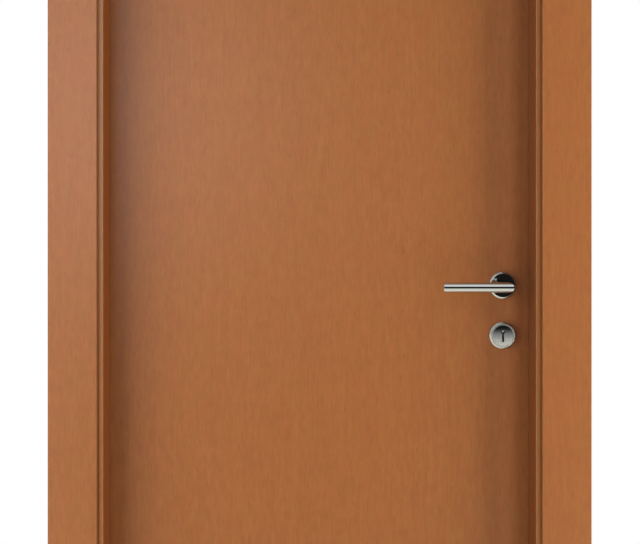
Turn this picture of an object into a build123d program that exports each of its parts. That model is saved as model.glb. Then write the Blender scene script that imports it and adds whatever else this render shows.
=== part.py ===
"""A semi-solid flush door: rebated leaf, lined frame with architraves, lever set and lock.

Millimetres. X runs from the outer face of the hinge jamb to the lock jamb, Z is up from
the floor, and Y is 0 in the middle of the wall. The push side faces -Y and the leaf
opens towards +Y, the side where its hinges are.
"""
from build123d import *
import os

# Wall and doorway
wall_thickness = 80.0
clear_width = 750.0
clear_height = 2100.0

# Jamb section
jamb_thickness = 48.0
rebate_width = 11.0
nose_proud = 5.0
front_strip_width = 10.0
back_strip_width = 28.0
jamb_edge_round = 1.2

# Architraves
architrave_thickness = 12.0
front_architrave_width = 85.0
back_architrave_width = 70.0
architrave_edge_round = 1.4
tongue_width = 3.0
tongue_depth = 10.0
tongue_inset = 3.0
tongue_side_clearance = 0.2
tongue_end_clearance = 1.0

# Seal in the stop
seal_gap = 5.0
seal_bulb_width = 4.6
seal_stem_width = 2.4
seal_stem_depth = 6.0
seal_inset = 0.6
seal_wall = 1.0
seal_touch_clearance = 0.3
seal_crown = 2.0

# Leaf
leaf_thickness = 44.0
lip_thickness = 15.0
lip_width = 13.0
lip_gap = 5.0
leaf_edge_gap = 6.0
floor_gap = 8.0
skin_thickness = 4.0
leaf_edge_round = 1.5
stile_width = 35.0
top_rail_height = 45.0
bottom_rail_height = 70.0
core_tube_diameter = 24.0
core_tube_sides = 12
core_tube_pitch = 36.0

# Lock block and mortice lock
backset = 51.0
handle_height = 1050.0
lock_centres = 90.0
lock_block_width = 70.0
lock_block_height = 260.0
lock_case_depth = 75.0
lock_case_height = 170.0
lock_case_thickness = 14.0
lock_case_clearance = 0.3
faceplate_width = 18.0
faceplate_height = 196.0
faceplate_thickness = 3.0
plate_corner = 8.0
bolt_length = 26.0
bolt_clearance = 0.2
latch_width = 11.0
latch_height = 18.0
latch_rise = 0.0
latch_bevel_depth = 7.0
latch_bevel_width = 4.2
dead_bolt_width = 9.0
dead_bolt_height = 32.0
dead_bolt_rise = 12.0
strike_plate_thickness = 2.0
strike_plate_width = 20.0
strike_plate_height = 176.0
strike_hole_margin = 1.5
strike_pocket_depth = 16.0

# Lever set
rose_diameter = 48.0
rose_thickness = 8.0
rose_rim_width = 2.8
rose_rim_depth = 2.6
lever_tube = 18.0
lever_reach = 113.0
lever_projection = 56.0
lever_end_bevel = 0.6
lever_running_clearance = 0.5
spindle_width = 8.0
spindle_grip = 26.0
spindle_clearance = 0.1
spindle_bore = 20.0
neck_start = 1.0

# Key plates
key_disc_diameter = 37.0
key_disc_recess = 1.0
key_dish_depth = 0.6
key_disc_clearance = 0.1
keyhole_height = 23.0
keyhole_head = 8.0
keyhole_slot = 3.8
keyhole_foot = 5.2
keyhole_clearance = 1.0
key_ward_thickness = 2.0

# Barrel hinges
knuckle_diameter = 14.0
knuckle_height = 30.0
knuckle_gap = 2.0
knuckle_dome = 3.0
knuckle_shoulder = 0.9
knuckle_joint_gap = 0.5
hinge_pin_depth = 6.0
hinge_pin_diameter = 8.0
hinge_pin_length = 22.0
hinge_pin_clearance = 0.3
hinge_shank_diameter = 7.0
hinge_shank_in_jamb = 34.0
hinge_shank_in_leaf = 36.0
hinge_shank_clearance = 0.1
lower_hinge_height = 240.0
upper_hinge_from_top = 220.0

# Places that follow from the sizes
frame_width = clear_width + 2 * jamb_thickness
frame_top = clear_height + jamb_thickness
front_wall_y = -wall_thickness / 2
back_wall_y = wall_thickness / 2
front_nose_y = front_wall_y - nose_proud
back_nose_y = back_wall_y + nose_proud
rebate_u = jamb_thickness - rebate_width
front_architrave_u = jamb_thickness - front_strip_width
back_architrave_u = rebate_u - back_strip_width
lip_inner_y = back_nose_y + lip_gap
leaf_front_y = lip_inner_y - (leaf_thickness - lip_thickness)
leaf_back_y = leaf_front_y + leaf_thickness
stop_back_y = leaf_front_y - seal_gap
leaf_left = rebate_u + leaf_edge_gap
leaf_right = frame_width - leaf_left
leaf_top = frame_top - leaf_left
lip_left = leaf_left - lip_width
lip_right = leaf_right + lip_width
lip_top = leaf_top + lip_width
core_front_y = leaf_front_y + skin_thickness
core_back_y = leaf_back_y - skin_thickness
stile_left_x = leaf_left + stile_width
stile_right_x = leaf_right - stile_width
spindle_x = leaf_right - backset
key_height = handle_height - lock_centres
lock_middle_z = (handle_height + key_height) / 2
lock_middle_y = (leaf_front_y + lip_inner_y) / 2
latch_z = handle_height + latch_rise
dead_bolt_z = key_height + dead_bolt_rise
hinge_x = lip_left - knuckle_gap - knuckle_diameter / 2
hinge_y = lip_inner_y + hinge_pin_depth
upper_hinge_height = lip_top - upper_hinge_from_top
middle_hinge_height = (lower_hinge_height + upper_hinge_height) / 2
hinge_heights = {
    "lower": lower_hinge_height,
    "middle": middle_hinge_height,
    "upper": upper_hinge_height,
}


def block(x0, x1, y0, y1, z0, z1):
    """A plain block between two corners."""
    box = Box(x1 - x0, y1 - y0, z1 - z0)
    return Pos((x0 + x1) / 2, (y0 + y1) / 2, (z0 + z1) / 2) * box


def section(points):
    """A closed face from points (distance into the doorway from the jamb's outer face, y)."""
    return make_face(Polyline(*points, close=True))


def rounded(face, corners, radius):
    """The section with the named corners rounded."""
    chosen = []
    for u, y in corners:
        chosen.append(face.vertices().sort_by_distance((u, y, 0))[0])
    return fillet(chosen, radius)


def hinge_upright(profile):
    """A section run up the hinge side and mitred at the head."""
    tall = extrude(profile, frame_top + front_architrave_width + back_architrave_width)
    mitre = Plane(origin=(0, 0, frame_top), z_dir=(1, 0, 1))
    return split(tall, bisect_by=mitre, keep=Keep.BOTTOM)


def lock_upright(profile):
    """The same section on the lock side."""
    return mirror(hinge_upright(profile), about=Plane.YZ.offset(frame_width / 2))


def head_member(profile):
    """The same section run across the head and mitred at both ends."""
    spare = front_architrave_width + back_architrave_width
    lying = Plane(origin=(-spare, 0, frame_top), x_dir=(0, 0, -1), z_dir=(1, 0, 0))
    across = extrude(lying * profile, frame_width + 2 * spare)
    hinge_mitre = Plane(origin=(0, 0, frame_top), z_dir=(1, 0, 1))
    lock_mitre = Plane(origin=(frame_width, 0, frame_top), z_dir=(-1, 0, 1))
    across = split(across, bisect_by=hinge_mitre, keep=Keep.TOP)
    return split(across, bisect_by=lock_mitre, keep=Keep.TOP)


def jamb_section():
    """Noses proud of the wall, grooves for the architraves, stop, rebate and seal groove."""
    outline = section([
        (0, front_wall_y),
        (front_architrave_u, front_wall_y),
        (front_architrave_u, front_nose_y),
        (jamb_thickness, front_nose_y),
        (jamb_thickness, stop_back_y),
        (rebate_u, stop_back_y),
        (rebate_u, back_nose_y),
        (back_architrave_u, back_nose_y),
        (back_architrave_u, back_wall_y),
        (0, back_wall_y),
    ])
    eased = [(jamb_thickness, front_nose_y), (jamb_thickness, stop_back_y), (rebate_u, back_nose_y)]
    outline = rounded(outline, eased, jamb_edge_round)
    groove_half = tongue_width / 2 + tongue_side_clearance
    groove_depth = tongue_depth + tongue_end_clearance
    for inner_u, wall_y, inward in groove_places():
        middle = inner_u - tongue_inset - tongue_width / 2
        far_y = wall_y + inward * groove_depth
        outline -= rectangle(middle - groove_half, middle + groove_half, wall_y, far_y)
    stem_half = seal_stem_width / 2
    stem_u = seal_middle_u()
    stem_far = stop_back_y - seal_stem_depth - tongue_side_clearance
    outline -= rectangle(stem_u - stem_half, stem_u + stem_half, stem_far, stop_back_y)
    return outline


def groove_places():
    """Inner edge, wall face and inward direction of the front and back architrave."""
    return [(front_architrave_u, front_wall_y, 1), (back_architrave_u, back_wall_y, -1)]


def rectangle(u0, u1, y0, y1):
    """A rectangular face between two corners of a section."""
    return Pos((u0 + u1) / 2, (y0 + y1) / 2) * Rectangle(abs(u1 - u0), abs(y1 - y0))


def seal_middle_u():
    """Where the middle of the seal lies across the stop."""
    return jamb_thickness - seal_inset - seal_bulb_width / 2


def architrave_section(inner_u, wall_y, inward, width):
    """A flat architrave with eased edges and a tongue for the jamb's groove."""
    face_y = wall_y - inward * architrave_thickness
    board = rectangle(inner_u - width, inner_u, face_y, wall_y)
    board = rounded(board, [(inner_u - width, face_y), (inner_u, face_y)], architrave_edge_round)
    tongue_inner = inner_u - tongue_inset
    tongue_far = wall_y + inward * tongue_depth
    return board + rectangle(tongue_inner - tongue_width, tongue_inner, wall_y, tongue_far)


def seal_section():
    """A hollow bulb that the leaf closes on, with its stem in the stop's groove."""
    middle = seal_middle_u()
    bulb_height = seal_gap - seal_touch_clearance
    half = seal_bulb_width / 2
    bulb = rectangle(middle - half, middle + half, stop_back_y, stop_back_y + bulb_height)
    crown = [(middle - half, stop_back_y + bulb_height), (middle + half, stop_back_y + bulb_height)]
    bulb = rounded(bulb, crown, seal_crown)
    hollow_radius = min(half, bulb_height / 2) - seal_wall
    hollow = Pos(middle, stop_back_y + bulb_height / 2) * Circle(hollow_radius)
    stem_half = seal_stem_width / 2
    stem = rectangle(middle - stem_half, middle + stem_half, stop_back_y - seal_stem_depth, stop_back_y)
    return bulb + stem - hollow


def hinge_jamb():
    """The jamb that carries the hinges, drilled for their shanks."""
    jamb = hinge_upright(jamb_section())
    for height in hinge_heights.values():
        drill = Cylinder(hinge_shank_diameter / 2 + hinge_shank_clearance, hinge_shank_in_jamb * 2)
        place = Pos(hinge_x, back_nose_y, height - knuckle_height / 2) * Rot(90, 0, 0)
        jamb -= place * drill
    return jamb


def lock_jamb():
    """The jamb that the bolts close into, cut for the strike plate and its two pockets."""
    jamb = lock_upright(jamb_section())
    face_x = frame_width - rebate_u
    jamb -= strike_blank(face_x)
    for bolt in bolt_places():
        jamb -= strike_hole(bolt, face_x, face_x + strike_plate_thickness + strike_pocket_depth)
    return jamb


def bolt_places():
    """Height, width and height of the latch bolt and the dead bolt."""
    return [(latch_z, latch_width, latch_height), (dead_bolt_z, dead_bolt_width, dead_bolt_height)]


def strike_hole(bolt, x0, x1):
    """The hole that one bolt closes into, wider by a margin all round."""
    z, width, height = bolt
    half_y = width / 2 + strike_hole_margin
    half_z = height / 2 + strike_hole_margin
    return block(x0, x1, lock_middle_y - half_y, lock_middle_y + half_y, z - half_z, z + half_z)


def rounded_plate(x0, x1, width, height):
    """A plate with round-cornered ends, lying in a door edge at the lock's middle."""
    face = RectangleRounded(width, height, plate_corner)
    plane = Plane(origin=(x0, lock_middle_y, lock_middle_z), x_dir=(0, 1, 0), z_dir=(1, 0, 0))
    return extrude(plane * face, x1 - x0)


def strike_blank(face_x):
    """The strike plate's outline, let in flush with the rebate."""
    return rounded_plate(face_x, face_x + strike_plate_thickness, strike_plate_width, strike_plate_height)


def strike_plate():
    """The strike plate with its two holes."""
    face_x = frame_width - rebate_u
    plate = strike_blank(face_x)
    for bolt in bolt_places():
        plate -= strike_hole(bolt, face_x, face_x + strike_plate_thickness)
    return plate


def spindle_drill(diameter):
    """A round hole through the leaf on the lever axis."""
    length = leaf_thickness * 3
    return Pos(spindle_x, leaf_front_y, handle_height) * Rot(90, 0, 0) * Cylinder(diameter / 2, length)


def keyhole_face(spread):
    """The key's outline, wider by spread all round: round head, narrow slot, flared foot."""
    head_radius = keyhole_head / 2 + spread
    foot_radius = keyhole_foot / 2 + spread
    head_z = keyhole_height / 2 - keyhole_head / 2
    foot_z = keyhole_foot / 2 - keyhole_height / 2
    slot = Pos(0, (head_z + foot_z) / 2) * Rectangle(keyhole_slot + 2 * spread, head_z - foot_z)
    return Pos(0, head_z) * Circle(head_radius) + slot + Pos(0, foot_z) * Circle(foot_radius)


def keyhole_cut(spread, y0, y1):
    """The key's outline cut through from y0 to y1."""
    plane = Plane(origin=(spindle_x, y1, key_height), x_dir=(1, 0, 0), z_dir=(0, -1, 0))
    return extrude(plane * keyhole_face(spread), y1 - y0)


def lock_pocket():
    """The space that the lock case and its faceplate take up in the leaf."""
    spare = lock_case_clearance
    half_y = lock_case_thickness / 2 + spare
    half_z = lock_case_height / 2 + spare
    case_left = leaf_right - faceplate_thickness - lock_case_depth - spare
    pocket = block(
        case_left, leaf_right,
        lock_middle_y - half_y, lock_middle_y + half_y,
        lock_middle_z - half_z, lock_middle_z + half_z,
    )
    return pocket + faceplate_blank()


def faceplate_blank():
    """The faceplate's outline, flush with the leaf's narrow edge."""
    return rounded_plate(leaf_right - faceplate_thickness, leaf_right, faceplate_width, faceplate_height)


def front_skin():
    """The push side's face board."""
    board = block(leaf_left, leaf_right, leaf_front_y, core_front_y, floor_gap, leaf_top)
    board -= spindle_drill(spindle_bore)
    return board - keyhole_cut(keyhole_clearance, leaf_front_y, core_front_y)


def back_skin():
    """The pull side's face board, wider by the lip on three sides."""
    board = block(lip_left, lip_right, core_back_y, leaf_back_y, floor_gap, lip_top)
    outer = board.faces().sort_by(Axis.Y)[-1].edges().sort_by(Axis.Z)[1:]
    board = fillet(outer, leaf_edge_round)
    board -= spindle_drill(spindle_bore)
    return board - keyhole_cut(keyhole_clearance, core_back_y, leaf_back_y)


def stile_block(x_in, x_edge, x_lip):
    """A stile with the step of the lip along its edge and over its top."""
    body = block(min(x_in, x_edge), max(x_in, x_edge), core_front_y, core_back_y, floor_gap, lip_top)
    body += block(min(x_edge, x_lip), max(x_edge, x_lip), lip_inner_y, core_back_y, floor_gap, lip_top)
    over_top = block(lip_left, lip_right, core_front_y, lip_inner_y, leaf_top, lip_top)
    return body - over_top


def hinge_stile():
    """The leaf's stile at the hinges, drilled for their shanks."""
    stile = stile_block(stile_left_x, leaf_left, lip_left)
    for height in hinge_heights.values():
        drill = Cylinder(hinge_shank_diameter / 2 + hinge_shank_clearance, hinge_shank_in_leaf * 2)
        stile -= Pos(lip_left, hinge_y, height + knuckle_height / 2) * Rot(0, 90, 0) * drill
    return stile


def lock_stile():
    """The leaf's stile at the lock, morticed for the lock."""
    return stile_block(stile_right_x, leaf_right, lip_right) - lock_pocket() - spindle_drill(spindle_bore)


def top_rail():
    """The rail between the stiles at the top, with the lip's step."""
    low = leaf_top - top_rail_height
    rail = block(stile_left_x, stile_right_x, core_front_y, core_back_y, low, leaf_top)
    return rail + block(stile_left_x, stile_right_x, lip_inner_y, core_back_y, leaf_top, lip_top)


def bottom_rail():
    """The rail between the stiles at the foot."""
    high = floor_gap + bottom_rail_height
    return block(stile_left_x, stile_right_x, core_front_y, core_back_y, floor_gap, high)


def lock_block_space():
    """The block's outline beside the lock stile."""
    half = lock_block_height / 2
    left = stile_right_x - lock_block_width
    return block(left, stile_right_x, core_front_y, core_back_y, lock_middle_z - half, lock_middle_z + half)


def lock_block():
    """The block of wood that holds the lock behind the stile."""
    drilled = lock_block_space() - lock_pocket() - spindle_drill(spindle_bore)
    return drilled - keyhole_cut(keyhole_clearance, core_front_y, core_back_y)


def core():
    """The tubular board that makes the leaf semi-solid: its channels run from rail to rail."""
    low = floor_gap + bottom_rail_height
    high = leaf_top - top_rail_height
    board = block(stile_left_x, stile_right_x, core_front_y, core_back_y, low, high)
    width = stile_right_x - stile_left_x
    count = int(width // core_tube_pitch)
    first = (stile_left_x + stile_right_x - (count - 1) * core_tube_pitch) / 2
    middle_y = (core_front_y + core_back_y) / 2
    channel = extrude(RegularPolygon(core_tube_diameter / 2, core_tube_sides), high - low)
    channels = []
    for index in range(count):
        channels.append(Pos(first + index * core_tube_pitch, middle_y, low) * channel)
    return board - channels - lock_block_space()


def lock_case():
    """The mortice lock's case, with room for the spindle and both bolts, and a ward between the keyways."""
    right = leaf_right - faceplate_thickness
    half_y = lock_case_thickness / 2
    half_z = lock_case_height / 2
    case = block(
        right - lock_case_depth, right,
        lock_middle_y - half_y, lock_middle_y + half_y,
        lock_middle_z - half_z, lock_middle_z + half_z,
    )
    turning = spindle_width * 2 ** 0.5 + 2 * lever_running_clearance
    case -= spindle_drill(turning)
    ward_half = key_ward_thickness / 2
    case -= keyhole_cut(keyhole_clearance, leaf_front_y, lock_middle_y - ward_half)
    case -= keyhole_cut(keyhole_clearance, lock_middle_y + ward_half, leaf_back_y)
    for z, width, height in bolt_places():
        case -= bolt_body(z, width, height, bolt_clearance)
    return case


def bolt_body(z, width, height, spare):
    """A bolt drawn back flush with the faceplate, or with spare the hole round it."""
    left = leaf_right - bolt_length - spare
    half_y = width / 2 + spare
    half_z = height / 2 + spare
    return block(left, leaf_right, lock_middle_y - half_y, lock_middle_y + half_y, z - half_z, z + half_z)


def faceplate():
    """The lock's faceplate with the holes of the two bolts."""
    plate = faceplate_blank()
    for z, width, height in bolt_places():
        plate -= bolt_body(z, width, height, bolt_clearance)
    return plate


def latch_bolt():
    """The latch bolt, bevelled on the side that meets the strike plate."""
    bolt = bolt_body(latch_z, latch_width, latch_height, 0)
    edge = bolt.edges().filter_by(Axis.Z).sort_by(lambda e: (e.center().X, e.center().Y))[-1]
    return chamfer(edge, latch_bevel_width, latch_bevel_depth)


def dead_bolt():
    """The dead bolt that the key throws."""
    return bolt_body(dead_bolt_z, dead_bolt_width, dead_bolt_height, 0)


def turned(points, face_y, outward, z):
    """A ring or disc turned about a hole's axis from (radius, height off the leaf) points."""
    outline = make_face(Polyline(*points, close=True))
    plane = Plane(origin=(spindle_x, face_y, z), x_dir=(1, 0, 0), z_dir=(0, 0, outward))
    return revolve(plane * outline, Axis((spindle_x, face_y, z), (0, 1, 0)))


def rose(face_y, outward):
    """A round rose with a bevelled rim and the bore that the lever turns in."""
    bore = lever_tube / 2 + lever_running_clearance
    radius = rose_diameter / 2
    points = [
        (bore, 0),
        (radius, 0),
        (radius, rose_thickness - rose_rim_depth),
        (radius - rose_rim_width, rose_thickness),
        (bore, rose_thickness),
    ]
    return turned(points, face_y, outward, handle_height)


def key_ring(face_y, outward):
    """The key plate's outer ring, the same outside as the rose and dished towards the disc."""
    inner = key_disc_diameter / 2 + key_disc_clearance
    radius = rose_diameter / 2
    points = [
        (inner, 0),
        (radius, 0),
        (radius, rose_thickness - rose_rim_depth),
        (radius - rose_rim_width, rose_thickness),
        (inner, rose_thickness - key_dish_depth),
    ]
    return turned(points, face_y, outward, key_height)


def key_disc(face_y, outward):
    """The key plate's flat middle with the keyhole."""
    height = rose_thickness - key_disc_recess
    radius = key_disc_diameter / 2
    disc = turned([(0, 0), (radius, 0), (radius, height), (0, height)], face_y, outward, key_height)
    far_y = face_y + outward * height
    return disc - keyhole_cut(0, min(face_y, far_y), max(face_y, far_y))


def lever(face_y, outward):
    """A round lever: a neck out of the rose, mitred into the grip, with the spindle's hole."""
    axis_y = face_y + outward * lever_projection
    start_y = face_y + outward * neck_start
    path = Polyline(
        (spindle_x, start_y, handle_height),
        (spindle_x, axis_y, handle_height),
        (spindle_x - lever_reach, axis_y, handle_height),
    )
    start = Plane(origin=(spindle_x, start_y, handle_height), z_dir=(0, outward, 0))
    tube = sweep(start * Circle(lever_tube / 2), path=path, transition=Transition.RIGHT)
    tip = tube.faces().sort_by(Axis.X)[0].edges()
    tube = chamfer(tip, lever_end_bevel)
    half = spindle_width / 2 + spindle_clearance
    deep_y = face_y + outward * (neck_start + spindle_grip)
    hole = block(
        spindle_x - half, spindle_x + half,
        min(start_y, deep_y), max(start_y, deep_y),
        handle_height - half, handle_height + half,
    )
    return tube - hole


def spindle():
    """The square spindle that joins the two levers through the lock."""
    half = spindle_width / 2
    reach = neck_start + spindle_grip - lever_running_clearance
    return block(
        spindle_x - half, spindle_x + half,
        leaf_front_y - reach, leaf_back_y + reach,
        handle_height - half, handle_height + half,
    )


def knuckle(height, upward):
    """One half of a hinge's barrel, domed in two bevels at its free end."""
    low = knuckle_joint_gap / 2
    radius = knuckle_diameter / 2
    top = low + knuckle_height
    outline = Polyline(
        (0, low),
        (radius, low),
        (radius, top - knuckle_dome),
        (radius - knuckle_shoulder, top - knuckle_shoulder),
        (radius - knuckle_dome, top),
        (0, top),
        close=True,
    )
    upright = Plane(origin=(hinge_x, hinge_y, height), x_dir=(1, 0, 0), z_dir=(0, -upward, 0))
    return revolve(upright * make_face(outline), Axis((hinge_x, hinge_y, height), (0, 0, 1)))


def hinge_frame_half(height):
    """The lower half: barrel, upright pin and the shank in the jamb."""
    barrel = knuckle(height, -1)
    pin_low = height - knuckle_height / 2
    pin_high = height + hinge_pin_length
    pin = Cylinder(hinge_pin_diameter / 2, pin_high - pin_low)
    barrel += Pos(hinge_x, hinge_y, (pin_low + pin_high) / 2) * pin
    far_y = back_nose_y - hinge_shank_in_jamb + hinge_shank_clearance
    shank = Cylinder(hinge_shank_diameter / 2, hinge_y - far_y)
    shank_z = height - knuckle_height / 2
    return barrel + Pos(hinge_x, (hinge_y + far_y) / 2, shank_z) * Rot(90, 0, 0) * shank


def hinge_leaf_half(height):
    """The upper half: barrel bored for the pin and the shank in the leaf's lip."""
    barrel = knuckle(height, 1)
    far_x = lip_left + hinge_shank_in_leaf - hinge_shank_clearance
    shank = Cylinder(hinge_shank_diameter / 2, far_x - hinge_x)
    shank_z = height + knuckle_height / 2
    barrel += Pos((hinge_x + far_x) / 2, hinge_y, shank_z) * Rot(0, 90, 0) * shank
    bore_low = height
    bore_high = height + hinge_pin_length + 2 * hinge_pin_clearance
    bore = Cylinder(hinge_pin_diameter / 2 + hinge_pin_clearance, bore_high - bore_low)
    return barrel - Pos(hinge_x, hinge_y, (bore_low + bore_high) / 2) * bore


def all_pieces():
    """Every piece of the door by its name."""
    front = (front_architrave_u, front_wall_y, 1, front_architrave_width)
    back = (back_architrave_u, back_wall_y, -1, back_architrave_width)
    pieces = {
        "jamb_hinge_side": hinge_jamb(),
        "jamb_lock_side": lock_jamb(),
        "head_jamb": head_member(jamb_section()),
        "front_architrave_hinge_side": hinge_upright(architrave_section(*front)),
        "front_architrave_lock_side": lock_upright(architrave_section(*front)),
        "front_architrave_head": head_member(architrave_section(*front)),
        "back_architrave_hinge_side": hinge_upright(architrave_section(*back)),
        "back_architrave_lock_side": lock_upright(architrave_section(*back)),
        "back_architrave_head": head_member(architrave_section(*back)),
        "seal_hinge_side": hinge_upright(seal_section()),
        "seal_lock_side": lock_upright(seal_section()),
        "seal_head": head_member(seal_section()),
        "strike_plate": strike_plate(),
        "leaf_front_face": front_skin(),
        "leaf_back_face": back_skin(),
        "leaf_hinge_stile": hinge_stile(),
        "leaf_lock_stile": lock_stile(),
        "leaf_top_rail": top_rail(),
        "leaf_bottom_rail": bottom_rail(),
        "leaf_core": core(),
        "lock_block": lock_block(),
        "lock_case": lock_case(),
        "lock_faceplate": faceplate(),
        "latch_bolt": latch_bolt(),
        "dead_bolt": dead_bolt(),
        "spindle": spindle(),
    }
    for side, face_y, outward in [("front", leaf_front_y, -1), ("back", leaf_back_y, 1)]:
        pieces[side + "_rose"] = rose(face_y, outward)
        pieces[side + "_key_ring"] = key_ring(face_y, outward)
        pieces[side + "_key_disc"] = key_disc(face_y, outward)
        pieces[side + "_lever"] = lever(face_y, outward)
    for name, height in hinge_heights.items():
        pieces[name + "_hinge_frame_half"] = hinge_frame_half(height)
        pieces[name + "_hinge_leaf_half"] = hinge_leaf_half(height)
    return pieces


os.makedirs("parts", exist_ok=True)
for node, solid in all_pieces().items():
    export_step(solid, "parts/" + node + ".step")
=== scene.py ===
"""Finishes, small fittings, light and camera for the semi-solid flush door."""
import math

import bpy
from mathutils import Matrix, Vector


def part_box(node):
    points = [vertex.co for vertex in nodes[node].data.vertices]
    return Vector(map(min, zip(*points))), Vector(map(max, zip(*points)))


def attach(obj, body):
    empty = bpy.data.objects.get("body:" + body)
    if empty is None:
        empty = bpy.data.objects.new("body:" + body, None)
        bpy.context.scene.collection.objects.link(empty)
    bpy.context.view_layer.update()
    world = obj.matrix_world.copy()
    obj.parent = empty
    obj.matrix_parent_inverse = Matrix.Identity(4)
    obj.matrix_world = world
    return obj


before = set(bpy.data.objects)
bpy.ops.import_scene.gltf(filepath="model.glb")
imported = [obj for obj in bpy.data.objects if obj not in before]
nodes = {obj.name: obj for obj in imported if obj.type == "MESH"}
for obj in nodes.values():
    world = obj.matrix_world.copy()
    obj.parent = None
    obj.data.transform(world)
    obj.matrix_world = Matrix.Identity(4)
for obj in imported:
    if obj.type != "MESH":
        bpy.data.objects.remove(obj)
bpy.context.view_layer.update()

# Places read from the door itself, in metres
leaf_front_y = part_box("leaf_front_face")[0].y
leaf_back_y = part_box("leaf_back_face")[1].y
hinge_jamb_low, hinge_jamb_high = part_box("jamb_hinge_side")
lock_jamb_low, lock_jamb_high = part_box("jamb_lock_side")
frame_middle_x = (hinge_jamb_low.x + lock_jamb_high.x) / 2
opening_half = lock_jamb_low.x - frame_middle_x
nose_reach = hinge_jamb_high.y
rose_low, rose_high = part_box("front_rose")
spindle_x = (rose_low.x + rose_high.x) / 2
plate_radius = (rose_high.x - rose_low.x) / 2
lever_height = (rose_low.z + rose_high.z) / 2
disc_low, disc_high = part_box("front_key_disc")
key_height = (disc_low.z + disc_high.z) / 2

# Camera, from the photograph's perspective: places in metres, lens in millimetres, image in pixels
camera_distance = 1.915
camera_height = 1.1956
camera_aside = -0.028
camera_lens = 60.0
camera_sensor = 36.0
vanishing_column = 303.45
horizon_row = 204.0
image_width = 640.0
image_height = 544.0

# Screws: their heads, their places and their recesses
plate_screw = {"Head Radius": 0.0036, "Head Rise": 0.0005, "Recess Width": 0.0038}
set_screw = {"Head Radius": 0.0020, "Head Rise": 0.0003, "Recess Width": 0.0022}
head_top_share = 0.74
recess_depth_share = 0.95
cross_width_share = 0.30
screw_inset = 0.012
neck_radius = 0.009
set_screw_reach = 0.016

# Tall lamps: azimuth from straight in front, distance, width and power
lamp_height = 1.26
lamp_tallness = 2.6
tall_lamps = {
    "far_left_panel": (-66, 1.35, 0.46, 10.7),
    "near_left_panel": (-46, 1.20, 0.45, 8.3),
    "near_right_panel": (34, 1.35, 0.38, 5.2),
    "far_right_panel": (67, 1.35, 0.50, 17.0),
}

# The lamp that only gives the sheen
sheen_azimuth = -16
sheen_distance = 2.1
sheen_height = 1.56
sheen_size = (0.75, 0.9)
sheen_power = 12.5

# Plain light from the room before and behind the door
fill_front = (0.0, 0.0, 0.0, 1)
fill_back = (0.75, 0.75, 0.75, 1)

# Floor: how white it is by the door, how far the shade reaches, and where it is all white
floor_near_white = 0.87
floor_shade_reach = 0.70
floor_white_from = 1.20
floor_gloss_share = 0.92

# Shapes of the round plates that only the light shows: how steeply the rim falls away at its
# edge, the slope of the key ring's hollow face, and each crown's radius and how far its middle
# lies above the plate's
rim_width = 0.0028
rim_round = 0.60
ring_dish = 0.222
disc_crown = (0.168, 0.0138)
ring_crown = (0.330, 0.0376)
brush_depth = 0.0000025

# Lipping on a jamb's noses: how far behind a nose's face it starts and is full, and how far
# beside the opening the painted shade in its corner against the architrave starts and is full
lipping_from = 0.0010
lipping_full = 0.0004
painted_shade_from = 0.0040
painted_shade_full = 0.0105

# Veneer colours, and the tones that they are multiplied by on each kind of board
veneer_pale = (0.440, 0.154, 0.043, 1)
veneer_deep = (0.338, 0.106, 0.026, 1)
veneer_yellow = (0.375, 0.143, 0.030, 1)
veneer_red = (0.418, 0.126, 0.036, 1)
pore_brown = (0.190, 0.058, 0.016, 1)
leaf_tone = (1.0, 0.98, 0.85)
# The linings' tone is partly the jambs' darker veneer and partly painted shade in the opening
lining_and_painted_shade_tone = (0.61, 0.51, 0.45)
# The lock side's lining is darker than the hinge side's as painted shade alone
lock_lining_painted_shade_tone = (0.50, 0.44, 0.40)
# The lipping's paler tone is partly painted sheen on the noses
lipping_and_painted_sheen_tone = (1.04, 1.11, 0.85)
# Painted shade: the noses darken into the corner against the architrave
painted_corner_shade = (0.49, 0.46, 0.32)
architrave_tone = (0.96, 0.885, 0.545)
leaf_gloss = 0.45
jamb_gloss = 0.55
architrave_gloss = 0.60

# Metal and rubber colours
chrome_clouded = (0.640, 0.640, 0.625, 1)
chrome_clear = (0.690, 0.690, 0.680, 1)
plate_dull = (0.590, 0.590, 0.570, 1)
plate_bright = (0.680, 0.680, 0.660, 1)
brushed_dull = (0.560, 0.555, 0.530, 1)
brushed_bright = (0.680, 0.675, 0.650, 1)
rubber_dark = (0.085, 0.020, 0.010, 1)
rubber_bloom = (0.135, 0.036, 0.020, 1)

# What metal mirrors of the room
mirrored_ceiling = (0.92, 0.92, 0.91, 1)
mirrored_zenith = (0.36, 0.36, 0.34, 1)
mirrored_front_sides = (0.62, 0.62, 0.60, 1)
mirrored_rest = (0.26, 0.26, 0.26, 1)
mirrored_floor_near = (0.92, 0.90, 0.79, 1)
mirrored_floor_far = (0.60, 0.59, 0.54, 1)


class Link:
    """A socket that takes part in sums: an expression on it adds Math nodes."""

    def __init__(self, graph, socket):
        self.graph = graph
        self.socket = socket

    def sum_of(self, operation, first, second):
        return self.graph.add("ShaderNodeMath", {"operation": operation}, {0: first, 1: second})

    def __add__(self, other):
        return self.sum_of("ADD", self, other)

    def __radd__(self, other):
        return self.sum_of("ADD", other, self)

    def __sub__(self, other):
        return self.sum_of("SUBTRACT", self, other)

    def __rsub__(self, other):
        return self.sum_of("SUBTRACT", other, self)

    def __mul__(self, other):
        return self.sum_of("MULTIPLY", self, other)

    def __rmul__(self, other):
        return self.sum_of("MULTIPLY", other, self)

    def __abs__(self):
        return self.graph.add("ShaderNodeMath", {"operation": "ABSOLUTE"}, {0: self})

    def sibling(self, name):
        """Another output of the same node."""
        return Link(self.graph, self.socket.node.outputs[name])

    def above(self, low, high):
        """0 under low, 1 over high and smooth between them."""
        settings = {"interpolation_type": "SMOOTHSTEP"}
        reach = {"Value": self, "From Min": low, "From Max": high}
        return self.graph.add("ShaderNodeMapRange", settings, reach)


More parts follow.
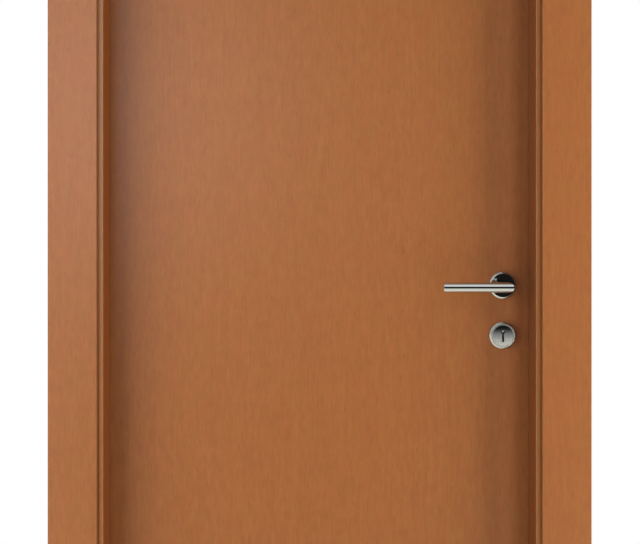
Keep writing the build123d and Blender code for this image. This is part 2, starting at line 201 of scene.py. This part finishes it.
class Graph:
    """One node tree and the few ways in which its nodes are made."""

    def __init__(self, tree):
        self.tree = tree
        tree.nodes.clear()

    def add(self, kind, settings=None, inputs=None, output=0):
        """Adds any node: its settings first, then the values or links of its sockets."""
        node = self.tree.nodes.new(kind)
        for name, value in (settings or {}).items():
            if name == "stops":
                set_stops(node.color_ramp, value)
            else:
                setattr(node, name, value)
        for name, value in (inputs or {}).items():
            if isinstance(value, Link):
                self.tree.links.new(value.socket, node.inputs[name])
            else:
                node.inputs[name].default_value = value
        return Link(self, node.outputs[output] if len(node.outputs) else None)

    def place(self):
        """Where a point lies on its own piece."""
        return self.add("ShaderNodeTexCoord", output="Object")

    def length(self, vector):
        """How long a vector is."""
        return self.add("ShaderNodeVectorMath", {"operation": "LENGTH"}, {0: vector}, "Value")

    def mix(self, factor, first, second):
        """A colour between two colours."""
        return self.add("ShaderNodeMix", {"data_type": "RGBA"}, {0: factor, 6: first, 7: second}, 2)

    def noise(self, place, stretch, detail=2.0, roughness=0.5, shift=(0, 0, 0)):
        """Noise whose grains are stretched by the three scales."""
        stretched = {"Vector": place, "Scale": stretch, "Location": shift}
        stretched = self.add("ShaderNodeMapping", {}, stretched)
        grains = {"Vector": stretched, "Scale": 1.0, "Detail": detail, "Roughness": roughness}
        return self.add("ShaderNodeTexNoise", {}, grains)

    def bump(self, height, distance, strength=1.0):
        """A normal pushed about by a height."""
        push = {"Height": height, "Distance": distance, "Strength": strength}
        return self.add("ShaderNodeBump", {}, push)


def set_stops(ramp, stops):
    """Gives a colour ramp its stops: (place, grey or colour)."""
    while len(ramp.elements) > 1:
        ramp.elements.remove(ramp.elements[-1])
    for index, (place, colour) in enumerate(stops):
        element = ramp.elements[0] if index == 0 else ramp.elements.new(place)
        element.position = place
        element.color = colour if isinstance(colour, tuple) else (colour, colour, colour, 1)


def new_material(name, **sockets):
    """A new material with its graph and its Principled shader's settings."""
    material = bpy.data.materials.new(name)
    material.use_nodes = True
    graph = Graph(material.node_tree)
    shader = graph.add("ShaderNodeBsdfPrincipled", {}, sockets)
    graph.add("ShaderNodeOutputMaterial", {}, {"Surface": shader})
    return material, graph, shader.socket.node


def feed(graph, shader, **links):
    """Links what varies over the surface into the shader's sockets."""
    for name, link in links.items():
        graph.tree.links.new(link.socket, shader.inputs[name.replace("_", " ")])


def jamb_tone(graph, lining):
    """The lining's tone in the opening, partly painted shade, the lipping's on the noses, partly painted
    sheen, and painted shade at their edge.
    """
    split = graph.add("ShaderNodeSeparateXYZ", {}, {0: graph.place()})
    outward = abs(split.sibling("Y"))
    aside = abs(split.sibling("X") - frame_middle_x)
    # Painted shade: darker towards the corner against the architrave
    corner = aside.above(opening_half + painted_shade_from, opening_half + painted_shade_full)
    nose = graph.mix(corner, (*lipping_and_painted_sheen_tone, 1), (*painted_corner_shade, 1))
    on_nose = outward.above(nose_reach - lipping_from, nose_reach - lipping_full)
    return graph.mix(on_nose, (*lining, 1), nose)


def veneer(name, grain_turn, shift, tone, gloss, nosed=False):
    """Straight-grained lacquered veneer along the board, with its lipping where it has noses, and there
    the jamb's painted shade and sheen.
    """
    material, graph, shader = new_material(name, **{"Specular IOR Level": gloss})
    place = graph.place()
    along_grain = {"Vector": place, "Rotation": grain_turn, "Location": shift}
    place = graph.add("ShaderNodeMapping", {}, along_grain)
    wander = (graph.noise(place, (6, 6, 1.6), 1.0) - 0.5) * 0.012
    sideways = graph.add("ShaderNodeCombineXYZ", {}, {"X": wander, "Y": wander})
    place = graph.add("ShaderNodeVectorMath", {"operation": "ADD"}, {0: place, 1: sideways})
    fibre = graph.noise(place, (300, 300, 34), 3.0, 0.62)
    thread = graph.noise(place, (150, 150, 7), 2.0, 0.6)
    mottle = graph.noise(place, (80, 80, 44), 3.0, 0.6)
    band = graph.noise(place, (24, 24, 1.2), 2.0, 0.5)
    patch = graph.noise(place, (60, 60, 26), 2.0, 0.55, (3.3, 1.7, 0.9))
    pores = graph.noise(place, (900, 900, 60), 1.0, 0.5).above(0.60, 0.78)
    figure = fibre * 0.46 + thread * 0.18 + mottle * 0.30 + band * 0.06
    wood = graph.mix(figure.above(0.315, 0.705), veneer_deep, veneer_pale)
    hue = graph.mix(patch.above(0.34, 0.66), veneer_yellow, veneer_red)
    wood = graph.mix(0.30, wood, hue)
    wood = graph.mix(pores * 0.42, wood, pore_brown)
    if nosed:
        tone = jamb_tone(graph, tone)
    wood = graph.add("ShaderNodeVectorMath", {"operation": "MULTIPLY"}, {0: wood, 1: tone})
    rough = 0.47 + (fibre - 0.5) * 0.10 + pores * 0.08
    relief = fibre * 0.35 - pores * 0.8
    feed(graph, shader, Base_Color=wood, Roughness=rough, Normal=graph.bump(relief, 0.00006, 0.5))
    return material


def raw_board(name, light, dark, grain):
    """Unfinished board: chips or sawn grain by the stretch it is given."""
    material, graph, shader = new_material(name, **{"Specular IOR Level": 0.3})
    place = graph.place()
    chips = graph.noise(place, grain, 3.0, 0.6)
    colour = graph.mix(chips.above(0.3, 0.72), dark, light)
    rough = 0.78 + chips * 0.12
    feed(graph, shader, Base_Color=colour, Roughness=rough, Normal=graph.bump(chips, 0.0003, 0.6))
    return material


def seal_rubber():
    """Matt dark red-brown rubber with a faint bloom."""
    material, graph, shader = new_material("seal_rubber", **{"Specular IOR Level": 0.35})
    place = graph.place()
    bloom = graph.noise(place, (220, 220, 40), 3.0, 0.6)
    colour = graph.mix(bloom, rubber_dark, rubber_bloom)
    rough = 0.50 + bloom * 0.15
    feed(graph, shader, Base_Color=colour, Roughness=rough, Normal=graph.bump(bloom, 0.00008, 0.4))
    return material


def polished_chrome():
    """Bright plating with the slight cloudiness of handling."""
    material, graph, shader = new_material("polished_chrome", Metallic=1.0)
    place = graph.place()
    smear = graph.noise(place, (60, 60, 90), 3.0, 0.6)
    haze = graph.noise(place, (900, 900, 900), 2.0, 0.5)
    colour = graph.mix(smear, chrome_clouded, chrome_clear)
    rough = 0.035 + smear.above(0.45, 0.85) * 0.06
    feed(graph, shader, Base_Color=colour, Roughness=rough, Normal=graph.bump(haze, 0.000004, 0.25))
    return material


def round_plate_chrome(name, height, brush, rough_low, rough_span, crown=None, dish=0.0):
    """Plating on a round plate at that height, with the lower part of its rim softened.

    A crown lets the face mirror like a slightly swollen one, and a dish, which is the slope of a
    hollow face, lets it mirror like a flat one.
    """
    material, graph, shader = new_material(name, Metallic=1.0)
    place = graph.place()
    lines = graph.noise(place, brush, 3.0, 0.6)
    from_middle = {"Vector": place, "Scale": (1, 0, 1), "Location": (-spindle_x, 0, -height)}
    from_middle = graph.add("ShaderNodeMapping", {}, from_middle)
    split = graph.add("ShaderNodeSeparateXYZ", {}, {0: from_middle})
    across = split.sibling("X")
    upward = split.sibling("Z")
    radius = graph.length(from_middle)
    face_radius = plate_radius - rim_width
    rim = {"Value": radius, "From Min": face_radius, "From Max": plate_radius}
    rim = graph.add("ShaderNodeMapRange", {}, rim)
    below = 0.5 - upward * (0.5 / plate_radius)
    shape = (rim - rim * rim * 0.5) * below * (rim_round * rim_width) + lines * brush_depth
    if crown:
        crown_radius, crown_lift = crown
        over_crown = upward - crown_lift
        shape = shape - (across * across + over_crown * over_crown) * (0.5 / crown_radius)
    if dish:
        on_face = graph.add("ShaderNodeMath", {"operation": "MINIMUM"}, {0: radius, 1: face_radius})
        shape = shape - on_face * dish
    colour = graph.mix(lines, plate_dull, plate_bright)
    rough = rough_low + lines * rough_span
    feed(graph, shader, Base_Color=colour, Roughness=rough, Normal=graph.bump(shape, 1.0))
    return material


def brushed_chrome(name, brush, rough_low):
    """Plating brushed along one way by the stretch it is given."""
    material, graph, shader = new_material(name, Metallic=1.0)
    place = graph.place()
    lines = graph.noise(place, brush, 4.0, 0.65)
    cloud = graph.noise(place, (80, 80, 80), 2.0, 0.5)
    colour = graph.mix(lines, brushed_dull, brushed_bright)
    rough = rough_low + lines * 0.12 + cloud * 0.05
    feed(graph, shader, Base_Color=colour, Roughness=rough, Normal=graph.bump(lines, 0.00002, 0.35))
    return material


def paint(material, *names):
    """Gives the named pieces of the frame that material."""
    for name in names:
        mesh = nodes[name].data
        mesh.materials.clear()
        mesh.materials.append(material)


def finish_wood():
    """Each board has its own stretch of veneer, with the grain along it."""
    upright = (0, 0, 0)
    lying = (0, math.radians(90), 0)
    leaf_boards = {
        "leaf_front_face": (upright, (0.0, 0.0, 0.0)),
        "leaf_back_face": (upright, (3.1, 0.4, 1.7)),
        "leaf_hinge_stile": (upright, (5.3, 0.9, 0.6)),
        "leaf_lock_stile": (upright, (6.1, 1.3, 2.4)),
        "leaf_top_rail": (lying, (5.7, 7.4, 0.9)),
    }
    # The last column is each jamb's lining tone, which holds painted shade
    jambs = {
        "jamb_hinge_side": (upright, (1.2, 2.2, 0.3), lining_and_painted_shade_tone),
        # Painted shade: the lock jamb's lining is darker than the other jambs'
        "jamb_lock_side": (upright, (2.7, 3.1, 1.1), lock_lining_painted_shade_tone),
        "head_jamb": (lying, (1.9, 4.1, 0.5), lining_and_painted_shade_tone),
    }
    architraves = {
        "front_architrave_hinge_side": (upright, (7.4, 0.2, 2.9)),
        "front_architrave_lock_side": (upright, (8.8, 1.9, 0.8)),
        "front_architrave_head": (lying, (2.3, 5.2, 1.4)),
        "back_architrave_hinge_side": (upright, (9.5, 2.6, 1.9)),
        "back_architrave_lock_side": (upright, (4.6, 3.7, 3.3)),
        "back_architrave_head": (lying, (3.8, 6.3, 2.2)),
    }
    for node, (turn, shift) in leaf_boards.items():
        paint(veneer("veneer_" + node, turn, shift, leaf_tone, leaf_gloss), node)
    for node, (turn, shift, lining) in jambs.items():
        paint(veneer("veneer_" + node, turn, shift, lining, jamb_gloss, nosed=True), node)
    for node, (turn, shift) in architraves.items():
        paint(veneer("veneer_" + node, turn, shift, architrave_tone, architrave_gloss), node)
    pine = raw_board("raw_pine", (0.66, 0.44, 0.23, 1), (0.48, 0.29, 0.13, 1), (20, 160, 160))
    chip = raw_board("tubular_chipboard", (0.60, 0.43, 0.25, 1), (0.33, 0.21, 0.11, 1), (260, 260, 110))
    paint(pine, "leaf_bottom_rail", "lock_block")
    paint(chip, "leaf_core")


def finish_fittings():
    """Metal and rubber, and the lock plates' finish given back for their screws."""
    paint(polished_chrome(), "front_lever", "back_lever")
    rose = round_plate_chrome("polished_rose", lever_height, (60, 60, 90), 0.035, 0.03)
    even = (90, 90, 90)
    upright = (1500, 40, 45)
    ring = round_plate_chrome("satin_key_ring", key_height, even, 0.16, 0.10, ring_crown, ring_dish)
    disc = round_plate_chrome("brushed_key_disc", key_height, upright, 0.05, 0.05, disc_crown)
    paint(rose, "front_rose", "back_rose")
    paint(ring, "front_key_ring", "back_key_ring")
    paint(disc, "front_key_disc", "back_key_disc")
    plate = brushed_chrome("brushed_lock_plate", (1200, 1200, 30), 0.24)
    paint(plate, "lock_faceplate", "strike_plate", "latch_bolt", "dead_bolt", "lock_case", "spindle")
    turned = brushed_chrome("turned_hinge_steel", (40, 40, 1600), 0.14)
    for level in ("lower", "middle", "upper"):
        paint(turned, level + "_hinge_frame_half", level + "_hinge_leaf_half")
    paint(seal_rubber(), "seal_hinge_side", "seal_lock_side", "seal_head")
    return plate


def cut(graph, head, tool, rise):
    """Takes a recess out of a screw's head with a tool whose middle lies on the head's top."""
    lift = graph.add("ShaderNodeCombineXYZ", {}, {"Z": rise})
    tool = graph.add("GeometryNodeTransform", {}, {"Geometry": tool, "Translation": lift})
    settings = {"operation": "DIFFERENCE", "solver": "EXACT"}
    return graph.add("GeometryNodeMeshBoolean", settings, {"Mesh 1": head, "Mesh 2": tool})


def cross_recess(graph, head, rise, length):
    """Cuts a cross into a screw's head."""
    width = length * cross_width_share
    tall = rise * (2 * recess_depth_share)
    for long_way, short_way in ((length, width), (width, length)):
        size = graph.add("ShaderNodeCombineXYZ", {}, {"X": long_way, "Y": short_way, "Z": tall})
        bar = graph.add("GeometryNodeMeshCube", {}, {"Size": size})
        head = cut(graph, head, bar, rise)
    return head


def hexagon_recess(graph, head, rise, width):
    """Cuts a hexagon socket into a screw's head."""
    tall = rise * (2 * recess_depth_share)
    key = {"Vertices": 6, "Radius": width * 0.5, "Depth": tall}
    key = graph.add("GeometryNodeMeshCylinder", {}, key)
    return cut(graph, head, key, rise)


def screw_tree(name, recess, material):
    """A tree that sets a screw's raised head on every point, turned the same way."""
    tree = bpy.data.node_groups.new(name, "GeometryNodeTree")
    graph = Graph(tree)
    tree.interface.new_socket("Places", in_out="INPUT", socket_type="NodeSocketGeometry")
    for size in ("Head Radius", "Head Rise", "Recess Width"):
        tree.interface.new_socket(size, in_out="INPUT", socket_type="NodeSocketFloat")
    tree.interface.new_socket("Turn", in_out="INPUT", socket_type="NodeSocketVector")
    tree.interface.new_socket("Screws", in_out="OUTPUT", socket_type="NodeSocketGeometry")
    given = graph.add("NodeGroupInput")
    radius = given.sibling("Head Radius")
    rise = given.sibling("Head Rise")
    top = radius * head_top_share
    head = {"Vertices": 32, "Radius Top": top, "Radius Bottom": radius, "Depth": rise}
    head = graph.add("GeometryNodeMeshCone", {}, head)
    head = recess(graph, head, rise, given.sibling("Recess Width"))
    turn = graph.add("FunctionNodeEulerToRotation", {}, {0: given.sibling("Turn")})
    spread = {"Points": given.sibling("Places"), "Instance": head, "Rotation": turn}
    screws = graph.add("GeometryNodeInstanceOnPoints", {}, spread)
    screws = graph.add("GeometryNodeRealizeInstances", {}, {"Geometry": screws})
    screws = graph.add("GeometryNodeSetMaterial", {}, {"Geometry": screws, "Material": material})
    graph.add("NodeGroupOutput", {}, {0: screws})
    return tree


def place_screws(name, body, tree, places, sizes):
    """One body's screws as one plain mesh that moves with it."""
    points = bpy.data.meshes.new(name)
    points.from_pydata(places, [], [])
    piece = bpy.data.objects.new(name, points)
    bpy.context.scene.collection.objects.link(piece)
    modifier = piece.modifiers.new("screw_heads", "NODES")
    modifier.node_group = tree
    for socket in tree.interface.items_tree:
        if socket.name in sizes:
            modifier[socket.identifier] = sizes[socket.name]
    shown = piece.evaluated_get(bpy.context.evaluated_depsgraph_get())
    finished = bpy.data.meshes.new_from_object(shown)
    piece.modifiers.clear()
    piece.data = finished
    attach(piece, body)


def fasten(plate):
    """Plate screws on the leaf's and the jamb's edge, and a set screw under each lever's neck."""
    crossed = screw_tree("cross_slot_screws", cross_recess, plate)
    socketed = screw_tree("hexagon_set_screws", hexagon_recess, plate)
    low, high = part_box("lock_faceplate")
    heights = (low.z + screw_inset, high.z - screw_inset)
    edge_places = [(high.x, (low.y + high.y) / 2, z) for z in heights]
    facing_out = {**plate_screw, "Turn": (0, math.radians(90), 0)}
    place_screws("faceplate_screws", "leaf", crossed, edge_places, facing_out)
    low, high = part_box("strike_plate")
    heights = (low.z + screw_inset, high.z - screw_inset)
    jamb_places = [(low.x, (low.y + high.y) / 2, z) for z in heights]
    facing_in = {**plate_screw, "Turn": (0, math.radians(-90), 0)}
    place_screws("strike_plate_screws", "frame", crossed, jamb_places, facing_in)
    neck_sides = (leaf_front_y - set_screw_reach, leaf_back_y + set_screw_reach)
    neck_places = [(spindle_x, y, lever_height - neck_radius) for y in neck_sides]
    facing_down = {**set_screw, "Turn": (math.radians(180), 0, 0)}
    place_screws("lever_set_screws", "lever", socketed, neck_places, facing_down)


def light_panel(name, place, size, power, for_gloss):
    """One soft lamp that faces the leaf: it gives either the plain light or only the sheen."""
    leaf_middle = Vector((frame_middle_x, leaf_front_y, lamp_height))
    lamp = bpy.data.lights.new(name, "AREA")
    lamp.shape = "RECTANGLE"
    lamp.size, lamp.size_y = size
    lamp.energy = power
    holder = bpy.data.objects.new(name, lamp)
    holder.location = place
    holder.rotation_euler = (leaf_middle - Vector(place)).to_track_quat("-Z", "Y").to_euler()
    holder.visible_camera = False
    holder.visible_glossy = for_gloss
    holder.visible_diffuse = not for_gloss
    bpy.context.scene.collection.objects.link(holder)


def round_the_door(azimuth, distance, height):
    """A place at that azimuth from straight in front of the door, positive to the right."""
    turn = math.radians(azimuth)
    return (frame_middle_x + distance * math.sin(turn), -distance * math.cos(turn), height)


def studio_lamps():
    """Tall lamps at both sides of the camera, and one left of it for the sheen alone."""
    for name, (azimuth, distance, width, power) in tall_lamps.items():
        place = round_the_door(azimuth, distance, lamp_height)
        light_panel(name, place, (width, lamp_tallness), power, for_gloss=False)
    place = round_the_door(sheen_azimuth, sheen_distance, sheen_height)
    light_panel("sheen_panel", place, sheen_size, sheen_power, for_gloss=True)


def studio_world():
    """A plain room, white to the camera: metal mirrors a dark front between bright floor and ceiling."""
    world = bpy.data.worlds.new("studio")
    world.use_nodes = True
    bpy.context.scene.world = world
    graph = Graph(world.node_tree)
    direction = graph.add("ShaderNodeTexCoord", output="Generated")
    split = graph.add("ShaderNodeSeparateXYZ", {}, {0: direction})
    along = split.sibling("Y")
    upward = split.sibling("Z")
    front = 1 - along.above(-0.60, -0.35)
    over = upward.above(0.30, 0.52)
    zenith = upward.above(0.80, 1.0)
    under = graph.add("ShaderNodeMapRange", {}, {"Value": upward, "From Min": -0.60, "From Max": 0.0})
    floor_to_dark = [
        (0.0, (0.90, 0.89, 0.78, 1)),
        (0.21, (0.80, 0.79, 0.70, 1)),
        (0.33, (0.58, 0.58, 0.52, 1)),
        (0.48, 0.42),
        (0.60, 0.27),
        (0.68, 0.12),
        (0.75, 0.040),
        (0.79, 0.012),
        (1.0, 0.012),
    ]
    lower_front = graph.add("ShaderNodeValToRGB", {"stops": floor_to_dark}, {"Fac": under})
    whole_front = graph.mix(over, lower_front, mirrored_ceiling)
    gloss = graph.mix(along.above(-0.30, -0.10), mirrored_front_sides, mirrored_rest)
    gloss = graph.mix(front, gloss, whole_front)
    gloss = graph.mix(zenith, gloss, mirrored_zenith)
    glossy = graph.add("ShaderNodeLightPath", output="Is Glossy Ray")
    seen = graph.add("ShaderNodeLightPath", output="Is Camera Ray")
    plain = graph.mix(along.above(-0.15, 0.25), fill_front, fill_back)
    colour = graph.mix(glossy, plain, gloss)
    colour = graph.mix(seen, colour, (1, 1, 1, 1))
    background = graph.add("ShaderNodeBackground", {}, {"Color": colour, "Strength": 1.0})
    graph.add("ShaderNodeOutputWorld", {}, {"Surface": background})


def floor_sheet():
    """A plain pale floor that keeps the door's shadow and turns to white away from it."""
    left, right, near, far = -6.0, 6.8, -2.6, 9.0
    mesh = bpy.data.meshes.new("floor")
    corners = [(left, near, 0), (right, near, 0), (right, far, 0), (left, far, 0)]
    mesh.from_pydata(corners, [], [(0, 1, 2, 3)])
    floor = bpy.data.objects.new("floor", mesh)
    bpy.context.scene.collection.objects.link(floor)
    material = bpy.data.materials.new("pale_floor")
    material.use_nodes = True
    graph = Graph(material.node_tree)
    place = graph.place()
    grain = graph.noise(place, (40, 40, 40), 3.0, 0.6)
    along = graph.add("ShaderNodeSeparateXYZ", {}, {0: place}).sibling("Y")
    colour = graph.mix(grain, (0.80, 0.79, 0.75, 1), (0.84, 0.83, 0.79, 1))
    matt = graph.add("ShaderNodeBsdfDiffuse", {}, {"Color": colour})
    seen = graph.add("ShaderNodeLightPath", output="Is Camera Ray")
    glossy = graph.add("ShaderNodeLightPath", output="Is Glossy Ray")
    gloss = graph.mix(along.above(-2.5, -1.3), mirrored_floor_far, mirrored_floor_near)
    backdrop = graph.mix(glossy, (1, 1, 1, 1), gloss)
    white = graph.add("ShaderNodeEmission", {}, {"Color": backdrop, "Strength": 1.0})
    from_door = {"Vector": place, "Location": (-frame_middle_x, 0, 0)}
    from_door = graph.add("ShaderNodeMapping", {}, from_door)
    away = graph.length(from_door).above(floor_shade_reach, floor_white_from)
    whiteness = floor_near_white + away * (1.0 - floor_near_white)
    share = seen * whiteness + glossy * floor_gloss_share
    surface = graph.add("ShaderNodeMixShader", {}, {0: share, 1: matt, 2: white})
    graph.add("ShaderNodeOutputMaterial", {}, {"Surface": surface})
    mesh.materials.append(material)


def photograph_camera():
    """The photograph's view: level and square to the leaf, with the frame shifted down and right."""
    data = bpy.data.cameras.new("camera")
    data.lens = camera_lens
    data.sensor_width = camera_sensor
    data.shift_x = (image_width / 2 - vanishing_column) / image_width
    data.shift_y = (horizon_row - image_height / 2) / image_width
    camera = bpy.data.objects.new("camera", data)
    camera.location = (frame_middle_x + camera_aside, leaf_front_y - camera_distance, camera_height)
    camera.rotation_euler = (math.radians(90), 0, 0)
    bpy.context.scene.collection.objects.link(camera)
    bpy.context.scene.camera = camera


finish_wood()
fasten(finish_fittings())
studio_world()
floor_sheet()
studio_lamps()
photograph_camera()

bpy.context.scene.view_settings.view_transform = "Standard"
